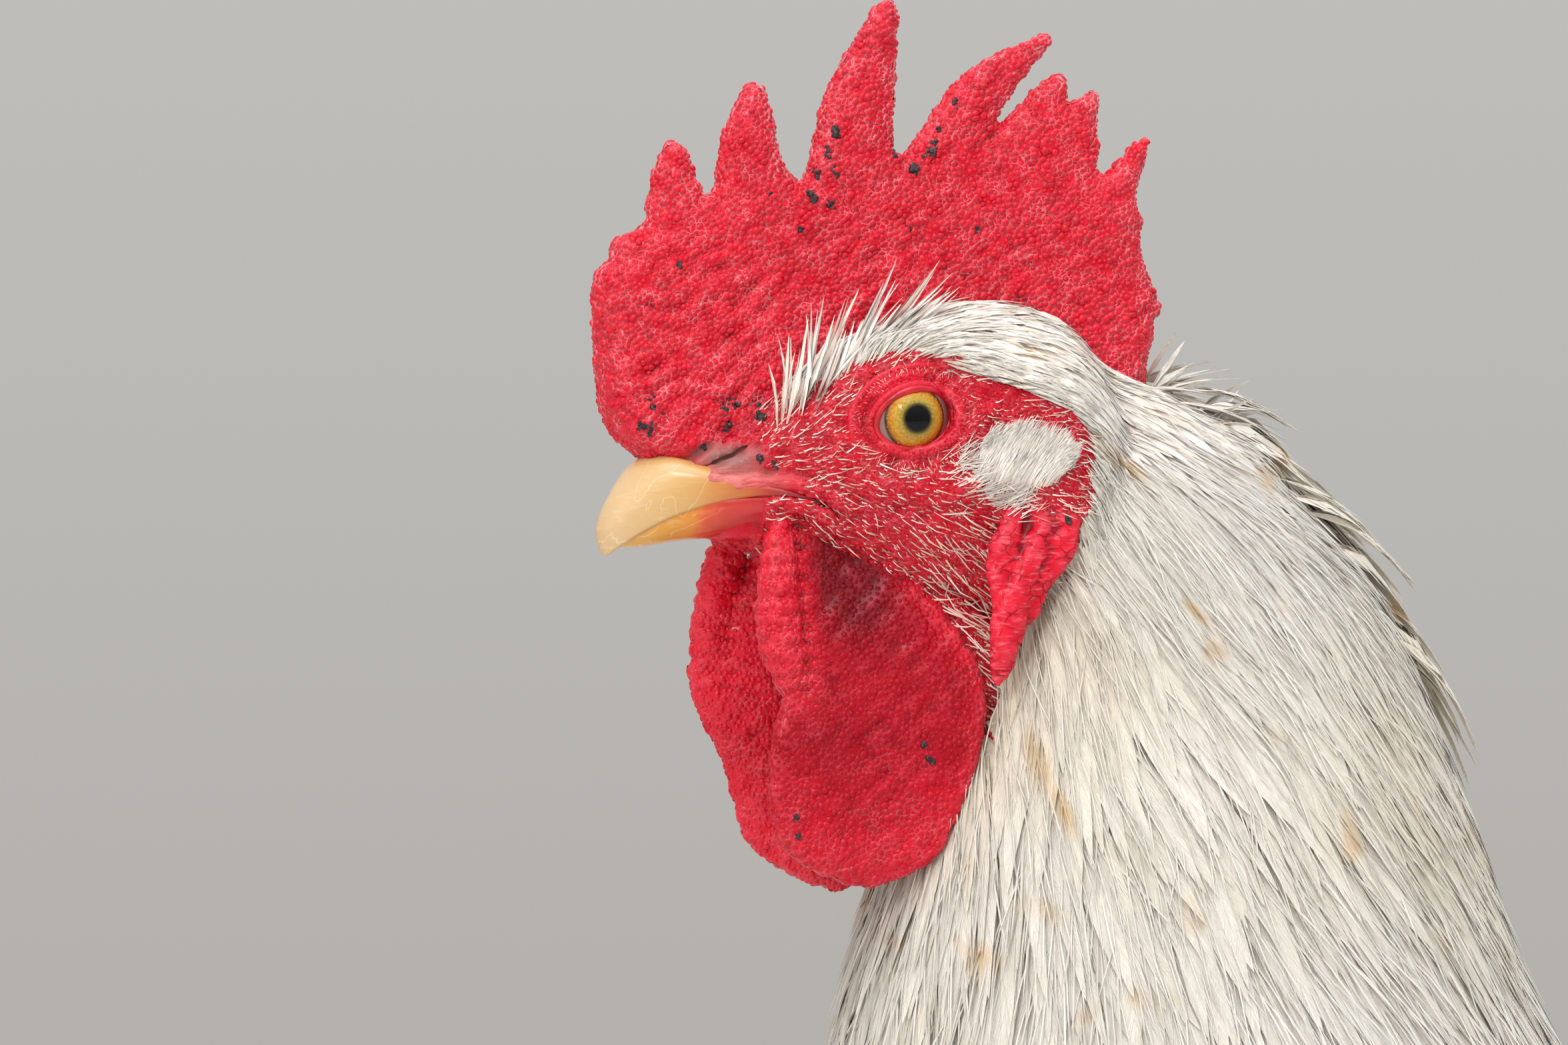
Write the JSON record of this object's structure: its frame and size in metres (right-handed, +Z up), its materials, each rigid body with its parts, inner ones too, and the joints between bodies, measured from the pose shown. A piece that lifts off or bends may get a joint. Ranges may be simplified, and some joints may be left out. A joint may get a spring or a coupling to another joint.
{
  "type": "rooster",
  "caption": "Life-size standing white rooster with a tall serrated red comb, long wattles, yellow beak and legs, and an arched tail, as one still figure.",
  "frame": {"origin": "on the floor, under the middle of the bird's overall box", "axes": "+Z up; the bird faces -X; its left side is -Y"},
  "size_m": [0.5694, 0.1946, 0.6148],
  "materials": {
    "plumage": "soft feathers, matt",
    "red_skin": "bare granular skin, satin",
    "beak_horn": "horn, half gloss",
    "eye": "wet, glossy",
    "leg_scale": "scaled skin, satin",
    "claw_horn": "horn, half gloss"
  },
  "bodies": {
    "root": {"beak_lower": "beak_horn", "beak_upper": "beak_horn", "claw_left_hind": "claw_horn", "claw_left_inner": "claw_horn", "claw_left_middle": "claw_horn", "claw_left_outer": "claw_horn", "claw_right_hind": "claw_horn", "claw_right_inner": "claw_horn", "claw_right_middle": "claw_horn", "claw_right_outer": "claw_horn", "comb": "red_skin", "earlobe_left": "red_skin", "earlobe_right": "red_skin", "eye_left": "eye", "eye_right": "eye", "head": "red_skin", "neck_lower": "plumage", "neck_upper": "plumage", "rump": "plumage", "shank_left": "leg_scale", "shank_right": "leg_scale", "sickle_left_1": "plumage", "sickle_left_2": "plumage", "sickle_left_3": "plumage", "sickle_left_4": "plumage", "sickle_right_1": "plumage", "sickle_right_2": "plumage", "sickle_right_3": "plumage", "sickle_right_4": "plumage", "spur_left": "claw_horn", "spur_right": "claw_horn", "tail_fan": "plumage", "thigh_left": "plumage", "thigh_right": "plumage", "toe_left_hind": "leg_scale", "toe_left_inner": "leg_scale", "toe_left_middle": "leg_scale", "toe_left_outer": "leg_scale", "toe_right_hind": "leg_scale", "toe_right_inner": "leg_scale", "toe_right_middle": "leg_scale", "toe_right_outer": "leg_scale", "trunk": "plumage", "wattle_left": "red_skin", "wattle_right": "red_skin", "wing_left_flights": "plumage", "wing_left_shoulder": "plumage", "wing_right_flights": "plumage", "wing_right_shoulder": "plumage"}
  },
  "joints": []
}
